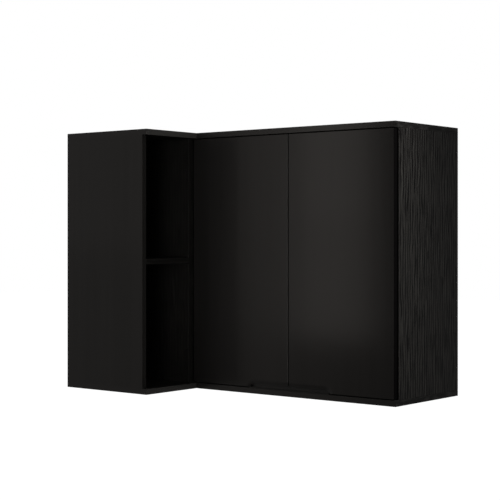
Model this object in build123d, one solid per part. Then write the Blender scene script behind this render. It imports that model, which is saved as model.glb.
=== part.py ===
"""Corner kitchen wall cabinet: a two-door cupboard with an open niche on a leg that comes forward.

Millimetres, +Z up, the front faces -Y. The origin is on the wall, at the middle of the two wall screws
in the upper hanging rail. The left wall of the room is at the cabinet's left end.
"""

import os
from math import cos, pi

from build123d import *

# Overall sizes
width = 945.0
height = 700.0
depth = 300.0
niche_width = 300.0
niche_reach = 200.0
niche_setback = 15.0

# Boards
board = 15.0
edge_chamfer = 0.5
facet_sides = 8
back_thickness = 3.0
back_inset = 15.0
niche_back_inset = 18.0
groove_depth = 6.0
groove_clearance = 0.1
back_end_play = 0.5
back_joint_gap = 0.5

# Uprights inside and the two rails behind
stile_depth = 80.0
rear_post_depth = 40.0
rail_height = 70.0
wall_screw_spacing = 800.0
wall_screw_hole = 7.0

# Shelves
shelf_setback = 20.0
shelf_side_play = 1.0
shelf_back_play = 2.0
shelf_pin_radius = 2.5
shelf_pin_collar_radius = 4.0
shelf_pin_collar = 0.8
shelf_pin_reach = 9.0
shelf_pin_hole = 9.0
shelf_pin_inset = 22.0

# Doors
door_thickness = 15.0
door_stand_off = 2.5
door_reveal = 4.0
door_gap = 3.0
door_end_gap = 2.0
door_chamfer = 1.0

# Finger pull at the doors' lower meeting corners: a moulded cup in each door, behind a rounded lip
pull_length = 128.0
pull_height = 10.0
pull_depth = 13.0
pull_lip = 4.5
pull_lip_tip = 1.0
pull_lip_round = 13.0
pull_lip_angle = 4.0
pull_hook_room = 10.0
pull_end_drop = 3.0
pull_cup_wall = 1.0
pull_cup_setback = 0.6
pull_cup_lap = 1.2
pull_cup_drop = 1.4

# Dowels, cam locks and their bolts
fit_clearance = 0.1
dowel_radius = 3.0
dowel_half_length = 10.0
dowel_end_play = 1.0
cam_radius = 7.5
cam_length = 12.0
cam_distance = 24.0
bolt_thread_radius = 2.4
bolt_thread_length = 10.0
bolt_shank_radius = 2.9
bolt_end_play = 1.0
joint_margin = 45.0
module_dowel_step = 30.0

# Wood screws
screw_radius = 2.0
screw_head_radius = 4.0
screw_head_length = 3.0
joining_screw_length = 40.0
joining_screw_margin = 90.0
post_screw_length = 26.0
post_screw_margin = 50.0
post_screw_offset = 80.0

# Concealed hinges: the pin's place is measured from the door's edge and from the door's back
hinge_end_distance = 100.0
pin_edge = 7.0
pin_depth = 9.0
pin_radius = 1.25
pin_clearance = 0.05
eye_radius = 2.1
lug_gap = 0.4
lug_thickness = 3.0
cup_edge = 3.0
cup_radius = 17.5
cup_depth = 12.5
cup_wall = 0.8
flange_thickness = 1.0
flange_length = 62.0
flange_width = 13.0
flange_corner = 3.2
cup_screw_spacing = 48.0
cup_screw_offset = 6.0
cup_screw_radius = 1.7
cup_screw_head_radius = 3.3
cup_screw_head = 1.4
cup_screw_length = 9.0
arm_thickness = 1.5
arm_width = 10.0
arm_height = 8.0
arm_tail = 57.0
channel_start = 8.0
channel_side = 4.0
channel_gap = 0.3
plate_thickness = 2.0
plate_length = 46.0
plate_width = 14.0
plate_corner = 3.5
plate_setback = 37.0
plate_block_front = 17.0
plate_screw_spacing = 32.0
plate_screw_radius = 1.8
plate_screw_head_radius = 3.4
plate_screw_head = 1.6
plate_screw_length = 11.0
arm_screw_setback = 46.0
arm_screw_radius = 2.5
arm_screw_head_radius = 4.0
arm_screw_head = 1.8
arm_screw_length = 6.0

# Reference planes
left = -width / 2
right = width / 2
wall = 0.0
front = -depth
niche_front = front - niche_reach
topside = board + rail_height / 2
underside = topside - height
floor_z = underside + board
ceiling_z = topside - board
middle_z = (floor_z + ceiling_z) / 2
niche_side = left + niche_width
niche_edge = niche_side - niche_setback
door_back = front + door_thickness
carcass_front = door_back + door_stand_off
stile_back = carcass_front + stile_depth
back_rear = wall - back_inset
back_face = back_rear - back_thickness
inner_left = left + board
inner_right = right - board
inner_z = (floor_z, ceiling_z)
top_z = (ceiling_z, topside)
bottom_z = (underside, floor_z)
hinge_heights = (floor_z + door_end_gap + hinge_end_distance, ceiling_z - door_end_gap - hinge_end_distance)

X = Vector(1, 0, 0)
Y = Vector(0, 1, 0)
Z = Vector(0, 0, 1)

pieces = {}
cutters = {}


def slab(x_span, y_span, z_span):
    """A square-edged block between three pairs of limits."""
    spans = (x_span, y_span, z_span)
    middle = [(low + high) / 2 for low, high in spans]
    return Pos(*middle) * Box(*[high - low for low, high in spans])


def edged_board(x_span, y_span, z_span, sharp=()):
    """A board with its edges lightly broken, as edge banding leaves them, but for the faces named as sharp.

    A sharp face is one of the sorted faces along Z, 0 for the lower and -1 for the upper.
    """
    plain = slab(x_span, y_span, z_span)
    broken = plain.edges()
    for place in sharp:
        broken = broken - plain.faces().sort_by(Axis.Z)[place].edges()
    return chamfer(broken, edge_chamfer)


def rod(start, axis, radius, length):
    """A round bar from a start point along an axis."""
    upright = Cylinder(radius, length, align=(Align.CENTER, Align.CENTER, Align.MIN))
    return Plane(origin=start, z_dir=axis) * upright


def bar(start, axis, radius, length):
    """An eight-sided bar along an axis, for small fasteners and the holes that they fill."""
    return extrude(Plane(origin=start, z_dir=axis) * RegularPolygon(radius, facet_sides), amount=length)


def stepped(start, axis, steps):
    """A fastener on an axis, from (radius, length) steps in order."""
    bars = []
    along = 0.0
    for radius, length in steps:
        bars.append(bar(start + axis * along, axis, radius, length))
        along += length
    return bars[0].fuse(*bars[1:])


def add(node, *solids):
    """Puts solids into a node."""
    pieces.setdefault(node, []).extend(solids)


def drill(node, *tools):
    """Keeps cutting tools for a node until its solids are all there."""
    cutters.setdefault(node, []).extend(tools)


# Boards of the two-door part and the corner behind the niche
add("main_top_panel", edged_board((left, right), (front, wall), top_z))
add("main_bottom_panel", edged_board((left, right), (front, wall), bottom_z))
add("left_side_panel", edged_board((left, inner_left), (front, wall), inner_z))
add("right_side_panel", edged_board((inner_right, right), (carcass_front, wall), inner_z))
add("corner_post", slab((niche_edge - board, niche_edge), (front, stile_back), inner_z))
add("hinge_stile", slab((niche_edge, niche_edge + board), (carcass_front, stile_back), inner_z))
rear_post_y = (back_face - rear_post_depth, back_face)
add("rear_post", slab((niche_edge, niche_edge + board), rear_post_y, inner_z))
rail_spans = {
    "upper_hanging_rail": (ceiling_z - rail_height, ceiling_z),
    "lower_hanging_rail": (floor_z, floor_z + rail_height),
}
for rail, rail_z in rail_spans.items():
    add(rail, slab((inner_left, inner_right), (back_rear, wall), rail_z))

# Boards of the niche module
niche_inner_y = (niche_front + board, front - board)
add("niche_top_panel", edged_board((left, niche_side), (niche_front, front), top_z, sharp=[0]))
add("niche_bottom_panel", edged_board((left, niche_side), (niche_front, front), bottom_z, sharp=[-1]))
niche_front_y = (niche_front, niche_inner_y[0])
add("niche_front_panel", edged_board((left, niche_edge), niche_front_y, inner_z, sharp=[0, -1]))
add("niche_rear_panel", edged_board((left, niche_edge), (niche_inner_y[1], front), inner_z))

# Thin backs, which sit in grooves all round
groove_end = groove_depth - back_end_play
back_x = (inner_left - groove_end, inner_right + groove_end)
back_z = (floor_z - groove_end, ceiling_z + groove_end)
back_joint = niche_edge + board / 2
corner_back_x = (back_x[0], back_joint - back_joint_gap / 2)
main_back_x = (back_joint + back_joint_gap / 2, back_x[1])
add("corner_back_panel", slab(corner_back_x, (back_face, back_rear), back_z))
add("main_back_panel", slab(main_back_x, (back_face, back_rear), back_z))
niche_back_x = (left + niche_back_inset, left + niche_back_inset + back_thickness)
niche_back_y = (niche_inner_y[0] - groove_end, niche_inner_y[1] + groove_end)
add("niche_back_panel", slab(niche_back_x, niche_back_y, back_z))

groove_y = (back_face - groove_clearance, back_rear + groove_clearance)
groove_x = (inner_left - groove_depth, inner_right + groove_depth)
groove_z = (floor_z - groove_depth, ceiling_z + groove_depth)
for node in ("main_top_panel", "main_bottom_panel", "left_side_panel", "right_side_panel"):
    drill(node, slab(groove_x, groove_y, groove_z))
niche_groove_x = (niche_back_x[0] - groove_clearance, niche_back_x[1] + groove_clearance)
niche_groove_y = (niche_inner_y[0] - groove_depth, niche_inner_y[1] + groove_depth)
for node in ("niche_top_panel", "niche_bottom_panel", "niche_front_panel", "niche_rear_panel"):
    drill(node, slab(niche_groove_x, niche_groove_y, groove_z))

# Shelves
shelf_z = (middle_z - board / 2, middle_z + board / 2)
niche_shelf_x = (niche_back_x[1] + shelf_side_play, niche_edge)
add("niche_shelf", edged_board(niche_shelf_x, niche_inner_y, shelf_z))
main_shelf_x = (niche_edge + board + shelf_side_play, inner_right - shelf_side_play)
main_shelf_y = (carcass_front + shelf_setback, back_face - shelf_back_play)
add("main_shelf", edged_board(main_shelf_x, main_shelf_y, shelf_z))


def shelf_pin(node, face_x, inward, y):
    """A plastic pin under the main shelf, pushed into a hole in an upright's inner face."""
    height_z = shelf_z[0] - shelf_pin_radius
    mouth = Vector(face_x, y, height_z)
    inside = inward * -shelf_pin_hole
    steps = [
        (shelf_pin_radius - fit_clearance, shelf_pin_hole),
        (shelf_pin_collar_radius, shelf_pin_collar),
        (shelf_pin_radius, shelf_pin_reach),
    ]
    add("shelf_pins", stepped(mouth + inside, inward, steps))
    drill(node, bar(mouth + inside, inward, shelf_pin_radius, shelf_pin_hole))


front_pin_y = main_shelf_y[0] + shelf_pin_inset
rear_pin_y = back_face - rear_post_depth / 2
shelf_pin("hinge_stile", niche_edge + board, X, front_pin_y)
shelf_pin("rear_post", niche_edge + board, X, rear_pin_y)
shelf_pin("right_side_panel", inner_right, -X, front_pin_y)
shelf_pin("right_side_panel", inner_right, -X, rear_pin_y)


def dowel(first, second, point, axis):
    """A wooden dowel across a joint at a point on the joint face, with a hole in both boards."""
    hole_half = dowel_half_length + dowel_end_play
    add("dowels", bar(point - axis * dowel_half_length, axis, dowel_radius, 2 * dowel_half_length))
    hole = bar(point - axis * hole_half, axis, dowel_radius + fit_clearance, 2 * hole_half)
    drill(first, hole)
    drill(second, hole)


def cam_joint(panel, into, point, axis, face):
    """A cam lock in a panel and its bolt in the board that the panel's end stands on.

    The point is on that joint, in the middle of the panel's thickness. The axis leads from the board into
    the panel, and the face direction leads to the panel's side where the cam is dropped in.
    """
    steps = [(bolt_thread_radius, bolt_thread_length), (bolt_shank_radius, cam_distance)]
    add("cam_bolts", stepped(point - axis * bolt_thread_length, axis, steps))
    thread_hole = bolt_thread_length + fit_clearance
    drill(into, bar(point - axis * thread_hole, axis, bolt_thread_radius + fit_clearance, thread_hole))
    bolt_hole = bar(point, axis, bolt_shank_radius + fit_clearance, cam_distance + bolt_end_play)
    drill(panel, bolt_hole)
    mouth = point + axis * cam_distance + face * (board / 2)
    add("cam_locks", bar(mouth, face * -1, cam_radius, cam_length) - bolt_hole)
    drill(panel, bar(mouth, face * -1, cam_radius + fit_clearance, cam_length + fit_clearance))


def panel_end_joints(panel, module, places, face):
    """Cam joints at both ends of an upright panel, at plan points in the middle of its thickness."""
    for x, y in places:
        cam_joint(panel, f"{module}_bottom_panel", Vector(x, y, floor_z), Z, face)
        cam_joint(panel, f"{module}_top_panel", Vector(x, y, ceiling_z), Z * -1, face)


side_x = right - board / 2
side_places = [(side_x, carcass_front + joint_margin), (side_x, back_face - joint_margin)]
panel_end_joints("right_side_panel", "main", side_places, X * -1)
side_x = left + board / 2
side_places = [(side_x, front + joint_margin), (side_x, back_face - joint_margin)]
panel_end_joints("left_side_panel", "main", side_places, X)
niche_cams = (niche_back_x[1] + joint_margin, niche_edge - joint_margin)
panel_end_joints("niche_front_panel", "niche", [(x, niche_front + board / 2) for x in niche_cams], Y)

# Dowels in the other uprights' ends, the rails' ends, the niche shelf and between the two modules' boards
post_y = (carcass_front + stile_back) / 2
standing = {
    "corner_post": ("main", niche_edge - board / 2, (front + stile_back) / 2),
    "rear_post": ("main", niche_edge + board / 2, rear_pin_y),
    "niche_rear_panel": ("niche", (niche_cams[0] + niche_cams[1]) / 2, front - board / 2),
}
for upright, (module, x, y) in standing.items():
    dowel(upright, f"{module}_bottom_panel", Vector(x, y, floor_z), Z)
    dowel(upright, f"{module}_top_panel", Vector(x, y, ceiling_z), Z)
for rail, rail_z in rail_spans.items():
    level = sum(rail_z) / 2
    dowel(rail, "left_side_panel", Vector(inner_left, back_rear / 2, level), X)
    dowel(rail, "right_side_panel", Vector(inner_right, back_rear / 2, level), X)
for x in (niche_shelf_x[0] + joint_margin, niche_edge - joint_margin):
    dowel("niche_shelf", "niche_front_panel", Vector(x, niche_inner_y[0], middle_z), Y)
    dowel("niche_shelf", "niche_rear_panel", Vector(x, niche_inner_y[1], middle_z), Y)
for level, side in ((topside - board / 2, "top"), (underside + board / 2, "bottom")):
    for x in (niche_cams[0] + module_dowel_step, niche_cams[1] - module_dowel_step):
        dowel(f"niche_{side}_panel", f"main_{side}_panel", Vector(x, front, level), Y)


def wood_screw(node, boards, head, axis, length):
    """A wood screw with a sunk flat head, level with the first board's face at the head point."""
    steps = [(screw_head_radius, screw_head_length), (screw_radius, length - screw_head_length)]
    add(node, stepped(head, axis, steps))
    hole = bar(head, axis, screw_radius + fit_clearance, length + fit_clearance)
    for name in boards:
        drill(name, hole)
    drill(boards[0], bar(head, axis, screw_head_radius + fit_clearance, screw_head_length))


# Screws that pull the niche module to the left side panel and the corner post
for x, behind in ((left + board / 2, "left_side_panel"), (niche_edge - board / 2, "corner_post")):
    for z in (floor_z + joining_screw_margin, ceiling_z - joining_screw_margin):
        head = Vector(x, niche_inner_y[1], z)
        wood_screw("joining_screws", ("niche_rear_panel", behind), head, Y, joining_screw_length)

# Screws that hold the hinge stile flat against the corner post
post_levels = (
    floor_z + post_screw_margin,
    middle_z - post_screw_offset,
    middle_z + post_screw_offset,
    ceiling_z - post_screw_margin,
)
for z in post_levels:
    head = Vector(niche_edge - board, post_y, z)
    wood_screw("post_screws", ("corner_post", "hinge_stile"), head, X, post_screw_length)

# Holes for the two wall screws, through the upper rail and the backs
for side, back in ((-1, "corner_back_panel"), (1, "main_back_panel")):
    x = side * wall_screw_spacing / 2
    hole = rod(Vector(x, back_face, 0), Y, wall_screw_hole / 2, back_inset + back_thickness)
    drill("upper_hanging_rail", hole)
    drill(back, hole)

# Doors, flush with the boards' front edges and lapping the uprights behind them
door_middle = (niche_edge + right) / 2
door_z = (floor_z + door_end_gap, ceiling_z - door_end_gap)
door_y = (front, door_back)
door_spans = {
    "left": (niche_edge + door_reveal, door_middle - door_gap / 2),
    "right": (door_middle + door_gap / 2, right - door_reveal),
}


def pull_plane(x):
    """The upright plane across a door at x, with its origin on the door's lower front edge."""
    return Plane(origin=(x, front, door_z[0]), x_dir=(0, 1, 0), z_dir=(1, 0, 0))


def pull_cutters(meeting_edge, outward):
    """The cuts for one door's pull: the mouth under a rounded lip, its turned end and the pocket behind."""
    mouth_top = pull_height + pull_lip_round
    run = pull_length - pull_height - pull_end_drop
    turn_x = meeting_edge + outward * run
    lean = Vector(0, -1).rotate(Axis.Z, pull_lip_angle)
    lip = TangentArc((0, mouth_top), (pull_lip - pull_lip_tip, pull_height), tangent=lean)
    outside = Polyline(
        lip @ 1,
        (pull_depth, pull_height),
        (pull_depth, -pull_end_drop),
        (-pull_lip, -pull_end_drop),
        (-pull_lip, mouth_top),
        lip @ 0,
    )
    mouth = pull_plane(turn_x) * make_face([lip, *outside.edges()])
    straight = extrude(mouth, amount=run + door_gap, dir=(-outward, 0, 0))
    turn_axis = Axis((turn_x, front, door_z[0] - pull_end_drop), (0, outward, 0))
    turned = revolve(mouth, axis=turn_axis, revolution_arc=90)
    pocket = slab(
        sorted((meeting_edge - outward * door_gap, meeting_edge + outward * pull_length)),
        (front + pull_lip, front + pull_depth),
        (door_z[0] - pull_end_drop, door_z[0] + pull_height + pull_hook_room),
    )
    return straight, turned, pocket


def pull_cup(meeting_edge, outward):
    """The moulded cup: a channel open to the front, with an end wall and a lip over the gap below."""
    top = pull_height + pull_hook_room
    inner_top = top - pull_cup_wall
    inner_back = pull_depth - pull_cup_wall
    inner_floor = pull_cup_wall - pull_cup_drop
    section = Polyline(
        (pull_cup_setback, -pull_cup_drop),
        (pull_depth, -pull_cup_drop),
        (pull_depth, top),
        (pull_lip, top),
        (pull_lip, inner_top),
        (inner_back, inner_top),
        (inner_back, inner_floor),
        (pull_cup_setback, inner_floor),
        close=True,
    )
    far_end = meeting_edge + outward * pull_length
    channel = pull_plane(far_end) * make_face(section)
    channel = extrude(channel, amount=pull_length + pull_cup_lap, dir=(-outward, 0, 0))
    wall_end = slab(
        sorted((far_end, far_end - outward * pull_cup_wall)),
        (front + pull_lip, front + pull_depth),
        (door_z[0] - pull_cup_drop, door_z[0] + top),
    )
    return channel.fuse(wall_end)


meeting_edges = {"left": (door_spans["left"][1], -1), "right": (door_spans["right"][0], 1)}
for side, span in door_spans.items():
    door = slab(span, door_y, door_z)
    door = chamfer(door.edges(), door_chamfer)
    add(f"{side}_door", door)
    drill(f"{side}_door", *pull_cutters(*meeting_edges[side]))
    add(f"{side}_pull_cup", pull_cup(*meeting_edges[side]))

# Concealed hinges, drawn once: x runs inwards from the upright's outer face, y is 0 on the door's back
pin_x = door_reveal + pin_edge
cup_x = door_reveal + cup_edge + cup_radius
inner_face = board
plate_y = door_stand_off + plate_setback
arm_x = (inner_face + arm_height, inner_face + arm_height + arm_thickness)
arm_end = door_stand_off + arm_tail
cup_screw_x = cup_x + cup_screw_offset
channel_inner = arm_width / 2 - arm_thickness
pin_half = arm_width / 2 + lug_gap + lug_thickness


def hinge_cup():
    """The pressed cup in the door's back, its screw flange, and two lugs inside that hold the pin."""
    inward = Y * -1
    mouth = Vector(cup_x, 0, 0)
    outside = rod(mouth + Y * flange_thickness, inward, cup_radius, cup_depth + flange_thickness)
    hollow_depth = cup_depth + flange_thickness - cup_wall
    shell = outside - rod(mouth + Y * flange_thickness, inward, cup_radius - cup_wall, hollow_depth)
    lug_x = (cup_x - cup_radius, pin_x + eye_radius)
    lug_y = (-cup_depth, eye_radius - pin_depth)
    lug_start = arm_width / 2 + lug_gap
    for z_span in ((-pin_half, -lug_start), (lug_start, pin_half)):
        shell = shell.fuse(slab(lug_x, lug_y, z_span) & outside)
    flange_plane = Plane(origin=mouth, x_dir=(0, 0, 1), z_dir=(0, 1, 0))
    ears = Rectangle(flange_length, flange_width)
    ears = Pos(0, cup_screw_offset) * chamfer(ears.vertices(), flange_corner)
    flange = ears - Circle(cup_radius - cup_wall)
    screw_hole = RegularPolygon(cup_screw_radius + fit_clearance, facet_sides)
    for place in (-cup_screw_spacing / 2, cup_screw_spacing / 2):
        flange -= Pos(place, cup_screw_offset) * screw_hole
    cup = shell.fuse(extrude(flange_plane * flange, amount=flange_thickness))
    seat_radius = (pin_radius + pin_clearance) / cos(pi / facet_sides)
    return cup - bar(Vector(pin_x, -pin_depth, -pin_half), Z, seat_radius, 2 * pin_half)


def hinge_pin():
    """The steel pin, from the outside of one lug to the outside of the other."""
    return rod(Vector(pin_x, -pin_depth, -pin_half), Z, pin_radius, 2 * pin_half)


def hinge_arm():
    """The cranked steel arm: an eye on the pin, a hook out of the cup and a channel over the plate."""
    half = arm_width / 2
    hook_y = (-pin_depth - arm_thickness / 2, -pin_depth + arm_thickness / 2)
    eye = bar(Vector(pin_x, -pin_depth, -half), Z, eye_radius, arm_width)
    hook = slab((pin_x, arm_x[1]), hook_y, (-half, half))
    blade = slab(arm_x, (hook_y[0], arm_end), (-half, half))
    sides = [
        slab((arm_x[0] - channel_side, arm_x[1]), (channel_start, arm_end), z_span)
        for z_span in ((-half, -channel_inner), (channel_inner, half))
    ]
    arm = blade.fuse(hook, eye, *sides)
    bore = rod(Vector(pin_x, -pin_depth, -arm_width), Z, pin_radius + pin_clearance, 2 * arm_width)
    screw_hole = bar(
        Vector(arm_x[0], door_stand_off + arm_screw_setback, 0),
        X,
        arm_screw_radius + fit_clearance,
        arm_thickness,
    )
    return arm - bore - screw_hole


def hinge_plate():
    """The mounting plate: a clipped base on the upright and a block that the arm's channel straddles."""
    base_plane = Plane(origin=(inner_face, plate_y, 0), x_dir=(0, 0, 1), z_dir=(1, 0, 0))
    base = Rectangle(plate_length, plate_width)
    base = chamfer(base.vertices(), plate_corner)
    for place in (-plate_screw_spacing / 2, plate_screw_spacing / 2):
        base -= Pos(place, 0) * RegularPolygon(plate_screw_radius + fit_clearance, facet_sides)
    block_half = channel_inner - channel_gap
    block = slab(
        (inner_face, arm_x[0]),
        (door_stand_off + plate_block_front, arm_end - channel_gap),
        (-block_half, block_half),
    )
    plate = extrude(base_plane * base, amount=plate_thickness).fuse(block)
    screw_well = bar(
        Vector(arm_x[0] - arm_screw_length, door_stand_off + arm_screw_setback, 0),
        X,
        arm_screw_radius + fit_clearance,
        arm_screw_length,
    )
    return plate - screw_well


def hinge_screws():
    """The plate's, arm's and cup's screws as three lists, and their holes in the upright and the door."""
    plate_set = []
    upright_holes = []
    for z in (-plate_screw_spacing / 2, plate_screw_spacing / 2):
        tip = Vector(inner_face - plate_screw_length, plate_y, z)
        steps = [
            (plate_screw_radius, plate_screw_length + plate_thickness),
            (plate_screw_head_radius, plate_screw_head),
        ]
        plate_set.append(stepped(tip, X, steps))
        upright_holes.append(bar(tip, X, plate_screw_radius + fit_clearance, plate_screw_length))
    arm_tip = Vector(arm_x[0] - arm_screw_length, door_stand_off + arm_screw_setback, 0)
    arm_steps = [
        (arm_screw_radius, arm_screw_length + arm_thickness),
        (arm_screw_head_radius, arm_screw_head),
    ]
    arm_set = [stepped(arm_tip, X, arm_steps)]
    cup_set = []
    door_holes = []
    for z in (-cup_screw_spacing / 2, cup_screw_spacing / 2):
        tip = Vector(cup_screw_x, -cup_screw_length, z)
        steps = [
            (cup_screw_radius, cup_screw_length + flange_thickness),
            (cup_screw_head_radius, cup_screw_head),
        ]
        cup_set.append(stepped(tip, Y, steps))
        door_holes.append(bar(tip, Y, cup_screw_radius + fit_clearance, cup_screw_length))
    return plate_set, arm_set, cup_set, upright_holes, door_holes


cup = hinge_cup()
pin = hinge_pin()
arm = hinge_arm()
plate = hinge_plate()
plate_screws, arm_screws, cup_screws, upright_holes, door_holes = hinge_screws()
cup_bore = rod(Vector(cup_x, 0, 0), Y * -1, cup_radius + fit_clearance, cup_depth + fit_clearance)

uprights = {"left": ("hinge_stile", niche_edge), "right": ("right_side_panel", right)}


def placed(shapes, side, z):
    """Hinge pieces at a height on one side, mirrored for the right-hand door."""
    place = Pos(uprights[side][1], door_back, z)
    return [place * (shape if side == "left" else mirror(shape, about=Plane.YZ)) for shape in shapes]


for side, (upright, _) in uprights.items():
    for z in hinge_heights:
        add(f"{side}_hinge_cups", *placed([cup], side, z))
        add(f"{side}_hinge_pins", *placed([pin], side, z))
        add(f"{side}_hinge_arms", *placed([arm], side, z))
        add(f"{side}_hinge_plates", *placed([plate], side, z))
        add(f"{side}_hinge_plate_screws", *placed(plate_screws, side, z))
        add(f"{side}_hinge_arm_screws", *placed(arm_screws, side, z))
        add(f"{side}_hinge_cup_screws", *placed(cup_screws, side, z))
        drill(upright, *placed(upright_holes, side, z))
        drill(f"{side}_door", *placed([cup_bore, *door_holes], side, z))

os.makedirs("parts", exist_ok=True)
for node, solids in pieces.items():
    if node in cutters:
        solids = [solid.cut(*cutters[node]) for solid in solids]
    shape = solids[0] if len(solids) == 1 else Compound(children=solids)
    export_step(shape, f"parts/{node}.step")
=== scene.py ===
import math

import bpy
import numpy as np
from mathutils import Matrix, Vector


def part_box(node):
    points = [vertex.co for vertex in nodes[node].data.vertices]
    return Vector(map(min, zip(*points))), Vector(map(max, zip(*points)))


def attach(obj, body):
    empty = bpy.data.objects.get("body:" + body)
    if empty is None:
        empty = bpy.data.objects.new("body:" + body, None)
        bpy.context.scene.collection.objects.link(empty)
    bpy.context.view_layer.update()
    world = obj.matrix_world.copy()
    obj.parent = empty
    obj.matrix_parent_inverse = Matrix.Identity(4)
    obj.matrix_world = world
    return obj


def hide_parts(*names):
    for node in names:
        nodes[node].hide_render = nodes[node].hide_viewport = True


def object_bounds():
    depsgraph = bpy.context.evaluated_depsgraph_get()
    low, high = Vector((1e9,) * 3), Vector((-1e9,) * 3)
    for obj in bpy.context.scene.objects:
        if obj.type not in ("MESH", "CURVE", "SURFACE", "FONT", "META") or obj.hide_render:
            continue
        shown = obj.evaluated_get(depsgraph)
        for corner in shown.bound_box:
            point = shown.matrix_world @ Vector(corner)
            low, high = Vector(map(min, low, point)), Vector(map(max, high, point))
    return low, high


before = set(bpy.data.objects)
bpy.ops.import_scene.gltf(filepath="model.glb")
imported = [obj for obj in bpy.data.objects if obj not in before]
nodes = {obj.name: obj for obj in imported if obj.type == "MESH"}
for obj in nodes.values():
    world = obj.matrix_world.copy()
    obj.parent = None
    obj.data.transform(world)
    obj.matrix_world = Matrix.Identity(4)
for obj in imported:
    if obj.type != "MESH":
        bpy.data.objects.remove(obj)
cad_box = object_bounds()


# Carcass boards: black melamine on chipboard, pressed with an open wood grain that can be felt. Every edge
# is banded in the same black; where the band colours below differ, that is painted light and shade. The
# boards are cut square and held by dowels, cam locks and screws.
class Finish:
    """One material's node tree with one socket of it. Arithmetic on the socket adds Math nodes."""

    def __init__(self, tree, socket=None):
        self.tree = tree
        self.socket = socket

    def node(self, kind, settings=None, sockets=None, out=0):
        """Adds any node: its type, its settings, which are set first, and its sockets' values or links."""
        made = self.tree.nodes.new("ShaderNode" + kind)
        for name, value in (settings or {}).items():
            setattr(made, name, value)
        for name, value in (sockets or {}).items():
            if isinstance(value, Finish):
                self.tree.links.new(value.socket, made.inputs[name])
            else:
                made.inputs[name].default_value = value
        return Finish(self.tree, made.outputs[out] if made.outputs else None)

    def also(self, out):
        """Another output of the node that this socket belongs to."""
        return Finish(self.tree, self.socket.node.outputs[out])

    def maths(self, operation, first, second=0.0, clamp=False):
        """A Math node on one or two values."""
        settings = {"operation": operation, "use_clamp": clamp}
        return self.node("Math", settings, {0: first, 1: second})

    def __add__(self, other):
        return self.maths("ADD", self, other)

    def __radd__(self, other):
        return self.maths("ADD", other, self)

    def __sub__(self, other):
        return self.maths("SUBTRACT", self, other)

    def __rsub__(self, other):
        return self.maths("SUBTRACT", other, self)

    def __mul__(self, other):
        return self.maths("MULTIPLY", self, other)

    def __rmul__(self, other):
        return self.maths("MULTIPLY", other, self)

    def __abs__(self):
        return self.maths("ABSOLUTE", self)

    def sine(self):
        return self.maths("SINE", self)

    def low(self, other):
        return self.maths("MINIMUM", self, other)

    def clamped(self):
        return self.maths("ADD", self, 0.0, clamp=True)

    def step(self, start, end):
        """0 below the start, 1 above the end, with a smooth rise between them."""
        settings = {"interpolation_type": "SMOOTHSTEP"}
        return self.node("MapRange", settings, {"Value": self, "From Min": start, "From Max": end})

    def places(self, kind="Object"):
        """A place on the piece by its three axes, or the way that the surface looks there."""
        parts = self.node("SeparateXYZ", None, {0: self.node("TexCoord", None, None, out=kind)})
        return {letter: parts.also(letter) for letter in "XYZ"}

    def noise(self, x, y, z, detail=2.0, roughness=0.5):
        """Soft noise at a place that is given in cells, about 0.5 on average."""
        place = self.node("CombineXYZ", None, {0: x, 1: y, 2: z})
        sockets = {"Vector": place, "Scale": 1.0, "Detail": detail, "Roughness": roughness}
        return self.node("TexNoise", None, sockets)

    def grit(self, cells, detail=2.0):
        """Even noise with so many cells per metre in all three directions, about 0 on average."""
        place = self.places()
        return self.noise(*(place[letter] * cells for letter in "XYZ"), detail=detail) - 0.5

    def blend(self, factor, first, second):
        """A colour between two colours."""
        settings = {"data_type": "RGBA", "clamp_factor": True}
        return self.node("Mix", settings, {0: factor, 6: first, 7: second}, out=2)


def new_finish(name):
    """An empty material's tree, and a function that closes the tree with one principled shader."""
    material = bpy.data.materials.new(name)
    material.use_nodes = True
    material.node_tree.nodes.clear()
    tree = Finish(material.node_tree)

    def close(height, strength, distance=0.0002, over=None, **sockets):
        """The over pair is a mask and a second shader, which covers the first where the mask is 1."""
        given = {key.replace("_", " "): value for key, value in sockets.items()}
        bump = {"Height": height, "Strength": strength, "Distance": distance}
        given["Normal"] = tree.node("Bump", None, bump)
        shader = tree.node("BsdfPrincipled", None, given)
        if over is not None:
            shader = tree.node("MixShader", None, {0: over[0], 1: shader, 2: over[1]})
        tree.node("OutputMaterial", None, {"Surface": shader})
        return material

    return tree, close


def dress(node, material):
    """Gives a node of the model one material."""
    nodes[node].data.materials.clear()
    nodes[node].data.materials.append(material)


def tinted(level, tint):
    """A colour: one reflectance with a tint."""
    return tuple(level * share for share in tint) + (1,)


square_on = (0.8, 0.9)  # the cosines between which a face comes to look squarely one way


def board_places(tree, node, grain, face, inside):
    """Places on one board: across its grain, along it, in from the nearest edge, and three masks from 0 to 1.

    The grain and the face are axis letters. The masks say how far a point lies on a flat face, how far it
    looks to the front or back, and how far it looks one of the inside ways, such as "+Z", or lies on a board
    that is inside all over. On an end the grain is turned, as edge banding is laid lengthwise.
    """
    low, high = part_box(node)
    side = next(letter for letter in "XYZ" if letter not in (grain, face))
    place, looks = tree.places(), tree.places("Normal")
    end = abs(looks[grain]).step(*square_on)
    across = place[side] * (1 - end) + place[face]
    lengthwise = place[grain] * (1 - end) + place[side] * end
    insets = []
    for letter in (grain, side):
        k = "XYZ".index(letter)
        middle, half = (low[k] + high[k]) / 2, (high[k] - low[k]) / 2
        insets.append(half - abs(place[letter] - middle))
    edge = insets[0].low(insets[1])
    flat = abs(looks[face]).step(*square_on)
    ahead = abs(looks["Y"]).step(*square_on)
    hidden = 1.0
    if inside != "all":
        masks = ((looks[letter] * float(sign + "1")).step(*square_on) for sign, letter in inside)
        hidden = sum(masks, flat * 0.0)
    return across, lengthwise, edge, flat, ahead, hidden


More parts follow.
